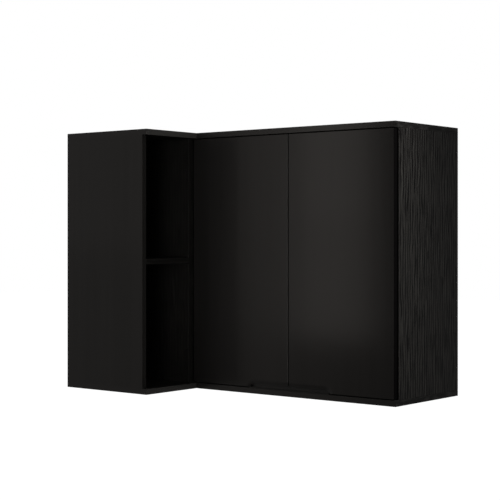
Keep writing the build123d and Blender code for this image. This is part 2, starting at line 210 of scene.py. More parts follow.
# Colours are linear reflectances. A pattern's cells are counted per metre, across the grain and along it
board_tint = (1.05, 1.0, 0.92)
satin_tint = (1.0, 0.92, 0.85, 1)
# Inside faces: the same black board painted paler than the outer faces, as painted light
lit_inside_dark = (0.0075, 0.0072, 0.0068, 1)
lit_inside_light = (0.0180, 0.0174, 0.0165, 1)
rubbed_black = (0.03, 0.029, 0.027, 1)
wave_cells, wave_reach = (30, 13), 0.014
line_turn = 570  # radians per metre, which is a line every 11 mm
ridge_cells, ridge_range = (330, 12), (0.54, 0.62)
valley_cells, valley_range = (290, 15), (0.56, 0.62)
pore_cells, pore_range = (640, 24), (0.58, 0.70)
wear_cells, wear_range = (60, 25), (0.45, 0.70)
wear_width = (0.0002, 0.0009)
wear_share = 0.22
unworn = ("niche_rear_panel", "niche_shelf")

# How much each part of the grain changes its tone, its roughness and its height
grain_level, line_tone, ridge_tone, valley_tone, pore_tone = 0.39, 0.40, 0.42, 0.50, 0.12
light_share, valley_cut = 1.6, 0.5
board_roughness, ridge_roughness, pore_roughness = 0.44, 0.10, 0.16
ridge_height, pore_depth = 0.6, 0.5
board_gloss, satin_gloss, satin_roughness = 0.013, 0.026, 0.2

# Edge banding: one colour on edges that look ahead, another on the sides of the leg's top and bottom, which
# is painted light on those lit sides. The darker colours are painted shade: on the fronts of the leg's top
# and bottom, on the hinge stile's front and on the inner part of the right side panel's front edge, whose
# outer part has a painted highlight
band_front = (0.0050, 0.0047, 0.0044, 1)
shaded_leg_band = (0.0026, 0.0024, 0.0023, 1)
shaded_band = (0.0016, 0.0015, 0.0014, 1)
highlight_band = (0.0470, 0.0450, 0.0430, 1)
# Where the painted highlight on the right side panel's front edge starts, along the width
highlight_start, highlight_end = 0.4702, 0.4708  # along the width, on the right side panel's front edge
band_line = (0.0020, 0.0020, 0.0020, 1)
band_thickness, seam_share = 0.0011, 0.7
hair_line = (0.00008, 0.00022)
lit_band_sides = {
    "niche_top_panel": (0.0160, 0.0152, 0.0142, 1),
    "niche_bottom_panel": (0.0115, 0.0109, 0.0102, 1),
}


def grained_board(node, grain, face, inside, seed, mean, relief):
    """Black wood-grain melamine: fine wavy lines along the grain, with short ridges, valleys and pores.

    The lines are a sine of the place across the grain, which a slow noise shifts, and the ridges, valleys and
    pores are long cells of noise that are cut off at a level. The mean is the board's reflectance, and the
    relief, 0 to 1, says how strongly the lines show. Inside faces are painted paler than the outer faces,
    as painted light. The edges have a smooth satin banding, with painted light and shade on some edges.
    """
    tree, close = new_finish(f"black_grain_{node}")
    across, lengthwise, edge, flat, ahead, hidden = board_places(tree, node, grain, face, inside)

    def cells(way, counts, shift, **more):
        return tree.noise(way * counts[0], lengthwise * counts[1], seed + shift, **more)

    shifted = across + (cells(across, wave_cells, 0, detail=1.0) - 0.5) * wave_reach
    lines = (shifted * line_turn).sine()
    ridges = cells(shifted, ridge_cells, 7, detail=0.0).step(*ridge_range)
    valleys = cells(shifted, valley_cells, 17, detail=0.0).step(*valley_range)
    pores = cells(across, pore_cells, 13).step(*pore_range)
    tone = grain_level + lines * line_tone + ridges * ridge_tone - valleys * valley_tone - pores * pore_tone
    tone = tone.clamped()
    dark = tinted(mean * (1 - relief), board_tint)
    light = tinted(mean * (1 + relief * light_share), board_tint)
    # Inside faces take the paler colour, which is painted light
    lit_inside = tree.blend(tone, lit_inside_dark, lit_inside_light)
    colour = tree.blend(hidden, tree.blend(tone, dark, light), lit_inside)
    seam = flat * (1 - abs(edge - band_thickness).step(*hair_line))
    colour = tree.blend(seam * seam_share, colour, band_line)
    if node not in unworn:
        rubbed = (1 - edge.step(*wear_width)) * cells(across, wear_cells, 21).step(*wear_range)
        colour = tree.blend(rubbed * wear_share, colour, rubbed_black)
    streaks = ridges * (1 - valleys * valley_cut)
    # Painted shade on the fronts of the leg's top and bottom and of the hinge stile, and painted light on the
    # leg's top and bottom sides
    front_band = shaded_leg_band if node in lit_band_sides else shaded_band if node == "hinge_stile" else band_front
    band = tree.blend(ahead, lit_band_sides.get(node, front_band), front_band)
    # Painted shade on the inner part of the right side panel's front edge, and a painted highlight on its
    # outer part
    if node == "right_side_panel":
        band = tree.blend(tree.places()["X"].step(highlight_start, highlight_end), shaded_band, highlight_band)
    banding = {"Base Color": band, "Roughness": satin_roughness}
    banding.update({"Specular IOR Level": satin_gloss, "Specular Tint": satin_tint})
    banded = (1 - flat) * (1 if node in lit_band_sides else ahead)
    return close(
        streaks * ridge_height - pores * pore_depth, strength=0.45, distance=0.0003,
        over=(banded, tree.node("BsdfPrincipled", None, banding)),
        Base_Color=colour,
        Roughness=board_roughness + streaks * ridge_roughness + pores * pore_roughness,
        Specular_IOR_Level=board_gloss, Specular_Tint=satin_tint,
    )


# Each board's grain axis, face axis and inside ways, and its mean and relief where they aren't the usual ones
boards = {
    "main_top_panel": ("X", "Z", ("+Z", "-Z")),
    "main_bottom_panel": ("X", "Z", ("+Z", "-Z")),
    "left_side_panel": ("Z", "X", "all"),
    "right_side_panel": ("Z", "X", ("-X", "+Y")),
    "corner_post": ("Z", "X", ("-X", "+Y")),
    "hinge_stile": ("Z", "X", ("+X", "-X", "+Y")),
    "rear_post": ("Z", "X", "all"),
    "upper_hanging_rail": ("X", "Y", "all"),
    "lower_hanging_rail": ("X", "Y", "all"),
    "niche_top_panel": ("X", "Z", ("+Z",)),
    "niche_bottom_panel": ("X", "Z", ("-Z",)),
    "niche_rear_panel": ("Z", "Y", ("+Y",)),
    "niche_shelf": ("X", "Z", ()),
    "main_shelf": ("X", "Z", "all"),
}
usual_grade = (0.0026, 0.35)
# The right side panel's higher mean is painted light, and the corner post's lower mean painted shade, on the
# same board; the other entries change only the relief
tones_and_painted_light = {
    "right_side_panel": (0.0047, 0.9),
    "corner_post": (0.0010, 0.3),
    "niche_rear_panel": (0.0026, 0.3),
    "niche_shelf": (0.0026, 0.3),
}
seed_step = 2.37
for count, (node, (grain, face, inside)) in enumerate(boards.items()):
    mean, relief = tones_and_painted_light.get(node, usual_grade)
    dress(node, grained_board(node, grain, face, inside, seed_step * count, mean, relief))


# Doors and the fixed front of the leg: the same black board with a satin face that is almost smooth, with
# only a faint upright figure. The doors hang on cup hinges, and each has a pocket for its half of the pull.
front_dark = (0.0030, 0.0028, 0.0026)
front_light = (0.0044, 0.0041, 0.0039)
# The doors' edge colour is painted shade, much darker than the same banding elsewhere, and the bevels where
# the doors meet have a painted highlight
shaded_door_edge = (0.0009, 0.0008, 0.0008, 1)
leg_edge = (0.0050, 0.0047, 0.0043, 1)
bevel_highlight = (0.0290, 0.0276, 0.0263, 1)
meeting_line, meeting_reach = 0.1425, (0.003, 0.004)  # where the doors meet, along the width
bevel_slope = (0.5, 0.6)
front_band_thickness, front_seam_share = 0.0018, 0.5
figure_cells, thread_cells, skin_cells = (46, 0.9), (320, 4), (1900, 1500)
figure_tone, skin_tone = 1.5, 0.5
sheen_change = 0.03
thread_height, skin_height = 0.2, 0.5
edge_roughness, edge_gloss = 0.6, 0.005


def satin_front(node, seed, edge_colour, shade, matt):
    """Satin black: a faint upright figure, a fine pebbled skin, and a hair line where the banding starts.

    The figure, its threads and the skin are noise in ever finer cells. The shade scales the face's colour,
    as painted shade where it is below 1, and matt is its mean roughness. Inside faces are painted paler, as
    painted light. The edges have a duller banding of their own colour, which on the doors is painted shade,
    and the small bevels where the doors meet have a painted highlight.
    """
    tree, close = new_finish(f"satin_black_{node}")
    across, lengthwise, edge, flat, _, hidden = board_places(tree, node, "Z", "Y", ("+Y",))

    def cells(counts, shift, detail):
        return tree.noise(across * counts[0], lengthwise * counts[1], seed + shift, detail=detail) - 0.5

    figure = cells(figure_cells, 0, 3.0)
    threads = cells(thread_cells, 5, 2.0)
    skin = cells(skin_cells, 9, 1.0)
    tone = (0.5 + figure * figure_tone + threads + skin * skin_tone).clamped()
    # Inside faces take the paler colour, which is painted light
    lit_inside = tree.blend(tone, lit_inside_dark, lit_inside_light)
    outer = tree.blend(tone, tinted(shade, front_dark), tinted(shade, front_light))
    colour = tree.blend(hidden, outer, lit_inside)
    seam = flat * (1 - abs(edge - front_band_thickness).step(*hair_line))
    colour = tree.blend(seam * front_seam_share, colour, band_line)
    # A painted highlight on the bevels where the doors meet
    meeting = 1 - abs(tree.places()["X"] - meeting_line).step(*meeting_reach)
    bevel = abs(tree.places("Normal")["Y"]).step(*bevel_slope) * meeting
    band = tree.blend(bevel, edge_colour, bevel_highlight)
    banding = {"Base Color": band, "Roughness": edge_roughness, "Specular IOR Level": edge_gloss}
    return close(
        threads * thread_height + skin * skin_height, strength=0.12,
        over=(1 - flat, tree.node("BsdfPrincipled", None, banding)),
        Base_Color=colour, Roughness=matt + figure * sheen_change + threads * sheen_change,
        Specular_IOR_Level=satin_gloss, Specular_Tint=satin_tint,
    )


# Shades below 1, on the right door and the leg's front, are painted shade on the same board; the doors' edge
# colour is painted shade too. The left door is a little more matt
dress("left_door", satin_front("left_door", 5.1, shaded_door_edge, shade=1.0, matt=0.23))
dress("right_door", satin_front("right_door", 8.4, shaded_door_edge, shade=0.92, matt=0.17))
dress("niche_front_panel", satin_front("niche_front_panel", 11.7, leg_edge, shade=0.6, matt=0.17))


# Thin backs: pressed hardboard, lacquered black on the side that faces into the cabinet and left brown
# behind. They slide into grooves in the boards around them.
lacquer_tint = (1.0, 0.98, 0.94)
fibre_dark = (0.105, 0.056, 0.027, 1)
fibre_light = (0.235, 0.140, 0.074, 1)
fibre_cells, cloud_cells = 420, 9
fibre_tone, cloud_tone, lacquer_tone = 2.2, 0.8, 1.2
screen_height, fibre_height, lacquer_height = 0.7, 0.8, 0.15
raw_roughness, lacquer_sheen, fibre_roughness = 0.72, 0.22, 0.1
lacquer_full, lacquer_thin = 0.6, 1.4
inward_slope = (0.4, 0.6)
screen_turn = 1450  # radians per metre, which is a mark of the press's wire screen every 2 mm


def hardboard(node, axis, inward, shade):
    """Hardboard: lacquer of a shade on the inward face, and pressed brown fibre with a screen pattern behind.

    The fibre is fine noise, and the screen is the product of two sines, one each way over the board.
    """
    tree, close = new_finish(f"hardboard_{node}")
    place = tree.places()
    level, upright = place["X" if axis == "Y" else "Y"], place["Z"]
    fibre = tree.noise(level * fibre_cells, upright * fibre_cells, 1.7, detail=4.0, roughness=0.7) - 0.5
    cloud = tree.noise(level * cloud_cells, upright * cloud_cells, 4.1, detail=3.0) - 0.5
    raw_tone = (0.5 + fibre * fibre_tone + cloud * cloud_tone).clamped()
    raw = tree.blend(raw_tone, fibre_dark, fibre_light)
    screen = abs((level * screen_turn).sine()) * abs((upright * screen_turn).sine())
    full, thin = (tinted(shade * share, lacquer_tint) for share in (lacquer_full, lacquer_thin))
    lacquer = tree.blend((0.5 + fibre * lacquer_tone).clamped(), full, thin)
    inside = (tree.places("Normal")[axis] * inward).step(*inward_slope)
    raw_height = screen * screen_height + fibre * fibre_height
    return close(
        (1 - inside) * raw_height + inside * fibre * lacquer_height, strength=0.4, distance=0.0003,
        Base_Color=tree.blend(inside, raw, lacquer),
        Roughness=raw_roughness - inside * lacquer_sheen + fibre * fibre_roughness,
        Specular_IOR_Level=0.2,
    )


# The backs inside the cabinet have paler lacquer than the niche's back, which is painted light: the lacquer
# is the same
dress("corner_back_panel", hardboard("corner_back_panel", "Y", inward=-1, shade=0.011))
dress("main_back_panel", hardboard("main_back_panel", "Y", inward=-1, shade=0.011))
dress("niche_back_panel", hardboard("niche_back_panel", "X", inward=1, shade=0.0024))


# Dowels: fluted beech pegs with chamfered ends, glued into blind holes across the joints.
# They are sawn from rod that is rolled with spiral flutes, so that the glue can spread.
def lofted(rings, loop=False):
    """A closed surface through rings of points, given as an array of rings by points by 3.

    Quads join each ring to the next, as two triangles each. In a loop the last ring joins the first, and
    otherwise a fan to its middle closes each end. Where the signed volume comes out negative, the faces are
    turned round, so that they always point outwards.
    """
    count, around = rings.shape[:2]
    here = np.arange(around)
    after = np.roll(here, -1)
    row = np.arange(count if loop else count - 1)[:, None] * around
    above = (row + around) % (count * around)
    sides = [np.stack([row + here, row + after, above + after], axis=2).reshape(-1, 3)]
    sides.append(np.stack([row + here, above + after, above + here], axis=2).reshape(-1, 3))
    points = rings.reshape(-1, 3)
    if not loop:
        points = np.concatenate([points, rings[:1].mean(axis=1), rings[-1:].mean(axis=1)])
        last = (count - 1) * around
        sides.append(np.stack([after, here, np.full(around, count * around)], axis=1))
        sides.append(np.stack([last + here, last + after, np.full(around, count * around + 1)], axis=1))
    faces = np.concatenate(sides)
    a, b, c = (points[faces[:, k]] for k in range(3))
    if (a * np.cross(b, c)).sum() < 0:
        faces = faces[:, ::-1]
    return points, faces


def turned(radius, along, angles, start, axis, across):
    """A closed surface round an axis, in millimetres: each ring has a radius and a height for every angle.

    A point is start + along * axis + radius * (cos(angle) * across + sin(angle) * (axis x across)).
    """
    axis, across = np.array(axis, float), np.array(across, float)
    radius, along = (np.broadcast_to(rows, (len(radius), len(angles))) for rows in (radius, along))
    round_way = np.cos(angles)[:, None] * across + np.sin(angles)[:, None] * np.cross(axis, across)
    return lofted(np.array(start) + along[:, :, None] * axis + radius[:, :, None] * round_way)


def column(*values):
    """One value per ring, as a column that spreads over all angles."""
    return np.array(values, float)[:, None]


def full_turn(count):
    """Evenly spaced angles once round."""
    return np.arange(count) * 2 * np.pi / count


sharp_fold = math.radians(32)


def fitting(name, shells, body, stands_for, material):
    """One piece from closed shells in millimetres: it rides on a body and stands for a node of the model."""
    points = np.concatenate([shell[0] for shell in shells]) / 1000.0
    starts = np.cumsum([0] + [len(shell[0]) for shell in shells[:-1]])
    faces = np.concatenate([shell[1] + first for shell, first in zip(shells, starts)])
    mesh = bpy.data.meshes.new(name)
    mesh.from_pydata(points.tolist(), [], faces.tolist())
    mesh.shade_smooth()
    mesh.set_sharp_from_angle(angle=sharp_fold)
    mesh.materials.append(material)
    piece = bpy.data.objects.new(name, mesh)
    bpy.context.scene.collection.objects.link(piece)
    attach(piece, body)
    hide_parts(stands_for)


beech_dark, beech_light = (0.42, 0.26, 0.14, 1), (0.62, 0.43, 0.26, 1)
ray_cells, ray_tone = 900, 1.8
tree, close = new_finish("beech")
rays = tree.grit(ray_cells, detail=3.0)
colour = tree.blend((0.5 + rays * ray_tone).clamped(), beech_dark, beech_light)
beech = close(rays, strength=0.2, Base_Color=colour, Roughness=0.6 + rays * 0.2)

# Places are in millimetres. Uprights stand on dowels between the inner faces of the bottom and the top
floor_face, ceiling_face = -635.0, 35.0
upright_pegs = ((-195.0, -251.25), (-180.0, -38.0), (-319.5, -307.5))
dowel_places = [((x, y, z), "Z") for x, y in upright_pegs for z in (floor_face, ceiling_face)]
rail_ends, rail_middle, rail_levels = (-457.5, 457.5), -7.5, (-600.0, 0.0)
dowel_places += [((x, rail_middle, z), "X") for x in rail_ends for z in rail_levels]
niche_shelf_pegs, niche_shelf_ends, shelf_level = (-405.5, -232.5), (-485.0, -315.0), -300.0
dowel_places += [((x, y, shelf_level), "Y") for x in niche_shelf_pegs for y in niche_shelf_ends]
leg_pegs, leg_joint, board_middles = (-376.5, -262.5), -300.0, (-642.5, 42.5)
dowel_places += [((x, leg_joint, z), "Y") for x in leg_pegs for z in board_middles]

ways = {"X": ((1, 0, 0), (0, 1, 0)), "Y": ((0, 1, 0), (0, 0, 1)), "Z": ((0, 0, 1), (1, 0, 0))}
flute_count, flute_depth, flute_twist = 12, 0.14, 0.16
peg_thickness, chamfer_start, chamfer_slope = 2.75, 8.8, 0.6
peg_angles = full_turn(72)
peg_rings = column(-10.0, -9.4, -8.6, *np.linspace(-8.0, 8.0, 17), 8.6, 9.4, 10.0)
peg_radius = peg_thickness - np.clip(abs(peg_rings) - chamfer_start, 0, None) * chamfer_slope
wave = np.cos(flute_count * peg_angles + peg_rings * flute_twist)
flutes = flute_depth * np.clip(wave, -0.6, 1.0)
pegs = [
    turned(peg_radius - flutes, peg_rings, peg_angles, place, *ways[letter])
    for place, letter in dowel_places
]
fitting("fluted_dowels", pegs, "carcass", "dowels", beech)


# Cam locks and their bolts: the drums are cast in zinc and dropped into round holes on the inside faces, and
# each draws a zinc-plated steel bolt towards itself when it is turned by the cross slot in its face.
drawn_cells, drawn_tone, drawn_roughness = (2600, 160), 0.9, 0.10
plating_cells, plating_tone, plating_roughness = 140, 1.3, 0.16


def plated_steel(name, colour_low, colour_high, roughness):
    """Plated metal: fine drawn lines along the height and a little unevenness in the plating."""
    tree, close = new_finish(name)
    place = tree.places()
    lines = tree.noise((place["X"] + place["Y"]) * drawn_cells[0], place["Z"] * drawn_cells[1], 0.4) - 0.5
    cloud = tree.grit(plating_cells, detail=3.0)
    tone = (0.5 + lines * drawn_tone + cloud * plating_tone).clamped()
    return close(
        lines, strength=0.08, distance=0.0001,
        Base_Color=tree.blend(tone, colour_low, colour_high), Metallic=1.0,
        Roughness=roughness + lines * drawn_roughness + cloud * plating_roughness,
    )


def cross_outline(angles, arm, half_width):
    """The outline of a cross as a radius for each angle: the arm's end or its side, whichever is nearer."""
    off = abs((angles + np.pi / 4) % (np.pi / 2) - np.pi / 4)
    return np.minimum(arm / np.cos(off), half_width / np.maximum(np.sin(off), 1e-6))


def thread(along, angles, outer, core, pitch):
    """The radius of a screw thread: a sharp ridge that climbs one pitch for each turn."""
    ridge_slope = 2.6
    turn = (along / pitch - angles / (2 * np.pi)) % 1.0
    return core + (outer - core) * np.clip(1.0 - ridge_slope * abs(turn - 0.5), 0, None)


# The angles of a slotted head crowd round the corners of its cross
slot_corner = math.atan2(0.24, 1.0)
quarter = np.array(
    [-0.785, -0.62, -0.45, -0.34, -slot_corner, -0.12, 0.0, 0.12, slot_corner, 0.34, 0.45, 0.62]
)
slot_angles = np.concatenate([quarter + k * np.pi / 2 for k in range(4)])
zinc = plated_steel("zinc_plate", (0.46, 0.47, 0.48, 1), (0.62, 0.63, 0.63, 1), 0.42)

# Each joint's bolt in plan and the way that its drum's face looks, out of the board
cam_places = [((465.0, -237.5), (-1, 0)), ((465.0, -63.0), (-1, 0))]
cam_places += [((-465.0, -255.0), (1, 0)), ((-465.0, -63.0), (1, 0))]
cam_places += [((-406.5, -492.5), (0, 1)), ((-232.5, -492.5), (0, 1))]
cam_distance, cam_face, bolt_depth = 24.0, 7.5, 10.0
cross = cross_outline(slot_angles, arm=3.6, half_width=0.86)[None]
rims = column(4.2, 5.4, 5.7, 6.1, 6.6, 6.9, 6.9, 5.8) + 0 * cross
disc_radius = np.concatenate([cross * 0.3, cross * 0.9, cross, rims])
disc_along = column(2.2, 2.2, 0.1, 0.1, 0.1, 0.35, 0.05, 0.05, 0.3, 3.0, 3.0)
foot_radius, foot_along = column(5.8, 6.9, 6.9, 5.8), column(9.4, 9.4, 11.6, 12.0)
# The drum's wall is a rectangle carried round in an open ring, and its inside narrows to draw the bolt in
mouth_half, narrowing = 0.75, 0.18
sweep = np.linspace(mouth_half, 2 * np.pi - mouth_half, 40)[:, None, None]
wall_along = column(2.9, 2.9, 9.5, 9.5)
wall_radius = column(4.4, 6.5, 6.5, 4.4) - column(1, 0, 0, 1) * sweep * narrowing
thread_run = column(*np.arange(0.6, 9.9, 0.25))
neck_run = column(10.2, 11.4, 11.4, 28.0, 28.6, 30.4, 31.0, 32.6, 33.7, 34.0)
bolt_along = np.concatenate([column(0.0), thread_run, neck_run])
bolt_tip = column(1.5) + 0 * slot_angles
bolt_neck = column(2.65, 2.65, 2.0, 2.0, 1.5, 1.5, 2.4, 2.65, 2.2, 1.2) + 0 * slot_angles
bolt_thread = thread(thread_run, slot_angles, outer=2.2, core=1.6, pitch=1.5)
bolt_radius = np.concatenate([bolt_tip, bolt_thread, bolt_neck])
drums = []
bolts = []
for (x, y), (face_x, face_y) in cam_places:
    face = np.array([face_x, face_y, 0], float)
    for z, way in ((floor_face, 1), (ceiling_face, -1)):
        mouth = np.array([x, y, z + cam_distance * way]) + face * cam_face
        upwards = np.array([0, 0, way])
        drums.append(turned(disc_radius, disc_along, slot_angles, mouth, -face, upwards))
        drums.append(turned(foot_radius, foot_along, slot_angles, mouth, -face, upwards))
        round_way = np.cos(sweep) * -upwards + np.sin(sweep) * np.cross(-face, -upwards)
        drums.append(lofted(mouth - face * wall_along + wall_radius * round_way))
        bolt_end = (x, y, z - bolt_depth * way)
        bolts.append(turned(bolt_radius, bolt_along, slot_angles, bolt_end, upwards, (1, 0, 0)))
fitting("slotted_cam_drums", drums, "carcass", "cam_locks", zinc)
fitting("threaded_cam_bolts", bolts, "carcass", "cam_bolts", zinc)


# Wood screws: steel with a sunk flat head and a cross slot. Black-painted ones pull the leg's frame to the
# corner, and zinc-plated ones hold the hinge stile against the corner post.
def screw(head, axis, across, head_radius, head_length, shank_radius, length, pitch, plain, sunk):
    """A cross-slotted screw as one surface of rings, from the slot's floor over the head to the point.

    The head is flat with a cone under it if sunk is 1, and a low dome with an upright rim if it is 0. The
    thread starts below a plain length and shrinks to the point over the last 3 mm.
    """
    point_length, blunt_tip, core_share, plain_share = 3.0, 0.12, 0.72, 0.86
    slot_arm, slot_half, slot_depth, dome_rise, cone_share = 0.58, 0.14, 0.72, 0.55, 0.45
    rim_end = 0.15 if sunk else 0.95
    cross = cross_outline(slot_angles, head_radius * slot_arm, head_radius * slot_half)[None]
    dome = (1 - sunk) * head_length * dome_rise
    slot_floor = cross * 0 + head_length * slot_depth
    shares = column(0.68, 0.80, 0.90, 0.96, 1.0) + 0 * cross
    under = column(1.0, 1.0 - cone_share * sunk) * head_radius + 0 * cross
    under_along = column(head_length * rim_end, head_length) + 0 * cross
    run = column(head_length + 0.05, *np.arange(head_length + plain, length - 0.2, pitch / 6))
    taper = np.clip((length - run) / point_length, blunt_tip, 1.0)
    ridge = thread(run, slot_angles, shank_radius, shank_radius * core_share, pitch)
    shank = np.where(run < head_length + plain, shank_radius * plain_share, ridge) * taper
    radius = np.concatenate([cross * 0.3, cross * 0.88, cross, shares * head_radius, under, shank])
    slot_along = [slot_floor, slot_floor, dome * (cross / head_radius) ** 2]
    along = np.concatenate([*slot_along, dome * shares ** 2, under_along, run + 0 * cross])
    return turned(radius, along, slot_angles, head, axis, across)


paint_dark, paint_light = (0.0012, 0.0012, 0.0012, 1), (0.0026, 0.0025, 0.0024, 1)
grit_tone = 1.5
tree, close = new_finish("black_paint")
grit = tree.grit(2000)
colour = tree.blend((0.5 + grit * grit_tone).clamped(), paint_dark, paint_light)
black_paint = close(
    grit, strength=0.1, Base_Color=colour, Roughness=0.6 + grit * 0.1, Specular_IOR_Level=0.01
)
wood_screw = {"head_radius": 3.7, "head_length": 3.0, "shank_radius": 1.9, "pitch": 1.8, "sunk": 1}
niche_rear_face, post_face, post_middle = -315.0, -202.5, -242.5
joining_screws = [
    screw((x, niche_rear_face, z), (0, 1, 0), (0, 0, 1), length=40.0, plain=15.0, **wood_screw)
    for x in (-465.0, -195.0) for z in (-545.0, -55.0)
]
fitting("cross_slot_joining_screws", joining_screws, "carcass", "joining_screws", black_paint)
post_screws = [
    screw((post_face, post_middle, z), (1, 0, 0), (0, 0.6, 0.8), length=26.0, plain=11.0, **wood_screw)
    for z in (-585.0, -380.0, -220.0, -15.0)
]
fitting("cross_slot_post_screws", post_screws, "carcass", "post_screws", zinc)


# Shelf pins: black moulded plastic, pushed into holes in the uprights up to a collar. The loose shelf lies
# on their round ends.
plastic_dark, plastic_light = (0.010, 0.010, 0.010, 1), (0.022, 0.022, 0.021, 1)
tree, close = new_finish("moulded_black")
grit = tree.grit(2400)
colour = tree.blend((0.5 + grit * grit_tone).clamped(), plastic_dark, plastic_light)
moulded = close(grit, strength=0.15, Base_Color=colour, Roughness=0.5 + grit * 0.2)
pin_angles = full_turn(40)
pin_along = column(-9.0, -8.7, -8.0, 0.0, 0.0, 0.2, 0.6, 0.8, 0.8, 1.1, 8.6, 9.3, 9.7, 9.8)
pin_profile = column(1.2, 1.8, 2.2, 2.2, 3.5, 3.85, 3.85, 3.6, 2.7, 2.42, 2.42, 2.2, 1.6, 0.9)
rib_count, rib_height = 6, 0.12
ribbed = (pin_along > -8.5) & (pin_along < -0.1)
pin_radius = pin_profile + np.where(ribbed, rib_height * np.cos(rib_count * pin_angles), 0)
pin_level, pin_holes = -310.0, (-240.5, -38.0)
pins = [
    turned(pin_radius, pin_along, pin_angles, (x, y, pin_level), (way, 0, 0), (0, 1, 0))
    for x, way in ((-172.5, 1), (457.5, -1)) for y in pin_holes
]
fitting("collared_shelf_pins", pins, "carcass", "shelf_pins", moulded)


# Hinge cups and pins: deep-drawn nickel-plated cups with a rolled rim and two screw ears, pressed into bores
# in the doors' backs. Two lugs inside each cup carry a steel pin.
nickel = plated_steel("nickel_plate", (0.50, 0.49, 0.47, 1), (0.66, 0.65, 0.62, 1), 0.36)
hinge_sides = {"left": (-187.5, 1), "right": (472.5, -1)}
hinge_levels = (-533.0, -67.0)
door_back = -285.0


def on_hinges(side, *shells):
    """Hinge pieces at both of a door's hinges: x runs inwards from the upright, y from the door's back."""
    edge, inward = hinge_sides[side]
    copies = []
    for points, faces in shells:
        for level in hinge_levels:
            moved = points * np.array([inward, 1, 1]) + np.array([edge, door_back, level])
            copies.append((moved, faces if inward > 0 else faces[:, ::-1]))
    return copies


def clipped_outline(angles, half_long, low, high, clip):
    """A rectangle with clipped corners as a radius for each angle round a point inside it.

    It reaches half_long both ways along angle 0 and from low to high across it. The radius is the nearest of
    the sides and corner cuts in that direction.
    """
    long_way, cross_way = abs(np.cos(angles)), np.sin(angles)
    middle, half = (low + high) / 2, (high - low) / 2
    reach = half_long + half - clip
    sides = [(long_way, half_long), (cross_way, high), (-cross_way, -low)]
    sides += [(long_way + cross_way, reach + middle), (long_way - cross_way, reach - middle)]
    return np.min([limit / np.maximum(way, 1e-6) for way, limit in sides], axis=0)


def rounded_block(low, high, way, corner, bevel):
    """A block with rounded corners: one rounded outline along an axis, drawn in at both ends by a bevel."""
    low, high = np.array(low, float), np.array(high, float)
    first, second = [k for k in range(3) if k != way]
    bend_points = 6
    bend = np.linspace(0, np.pi / 2, bend_points)
    bends = np.concatenate([bend + k * np.pi / 2 for k in range(4)])
    signs = np.repeat([(1, 1), (-1, 1), (-1, -1), (1, -1)], bend_points, axis=0)
    middle, half = (low + high) / 2, (high - low) / 2
    rings = np.zeros((4, 4 * bend_points, 3))
    for k, (inset, level) in enumerate(((bevel, 0.0), (0.0, bevel), (0.0, -bevel), (bevel, 0.0))):
        for axis, sign, turn in ((first, signs[:, 0], np.cos(bends)), (second, signs[:, 1], np.sin(bends))):
            rings[k, :, axis] = middle[axis] + sign * (half[axis] - corner) + (corner - inset) * turn
        rings[k, :, way] = (low if k < 2 else high)[way] + level
    return lofted(rings)


# The flange joins the round rim and the ears smoothly: the outline is the 14th root of the two radii's
# 14th powers added up
plate_angles = full_turn(180)
ears = clipped_outline(plate_angles, half_long=31.0, low=-12.5, high=0.5, clip=3.2)
flange_radius, join_power = 17.2, 14
flange = (ears ** join_power + flange_radius ** join_power) ** (1 / join_power)
outside = np.minimum(flange - 0.1, 17.4)[None]
bowl = column(9.0, 14.2, 15.5, 16.3, 16.7, 16.7, 16.8, 17.1) + 0 * plate_angles
rolled = np.stack([flange - 0.3, flange, flange, flange - 0.15])
cup_radius = np.concatenate([bowl, rolled, outside, outside, outside - 0.9, outside - 2.6])
bowl_along = [12.7, 12.7, 12.4, 11.6, 10.4, 1.2, 0.45, 0.1]
cup_along = column(*bowl_along, 0.0, 0.25, 0.8, 1.0, 1.0, 12.0, 13.2, 13.5)
cup_place, lug_width = (24.5, 1.0, 0.0), 3.0
cup = turned(cup_radius, cup_along, plate_angles, cup_place, (0, -1, 0), (0, 0, 1))
lugs = [
    rounded_block((8.6, -12.4, z), (13.1, -6.9, z + lug_width), way=2, corner=1.4, bevel=0.3)
    for z in (-8.4, 5.4)
]
pin_place = (11.0, -9.0, 0.0)
pin_ends = column(-8.35, -8.0, 8.0, 8.35)
hinge_pin = turned(column(0.8, 1.25, 1.25, 0.8), pin_ends, pin_angles, pin_place, (0, 0, 1), (1, 0, 0))
for side in hinge_sides:
    door = f"{side}_door"
    cups = on_hinges(side, cup, *lugs)
    fitting(f"{side}_drawn_cups", cups, door, f"{side}_hinge_cups", nickel)
    fitting(f"{side}_steel_pins", on_hinges(side, hinge_pin), door, f"{side}_hinge_pins", nickel)


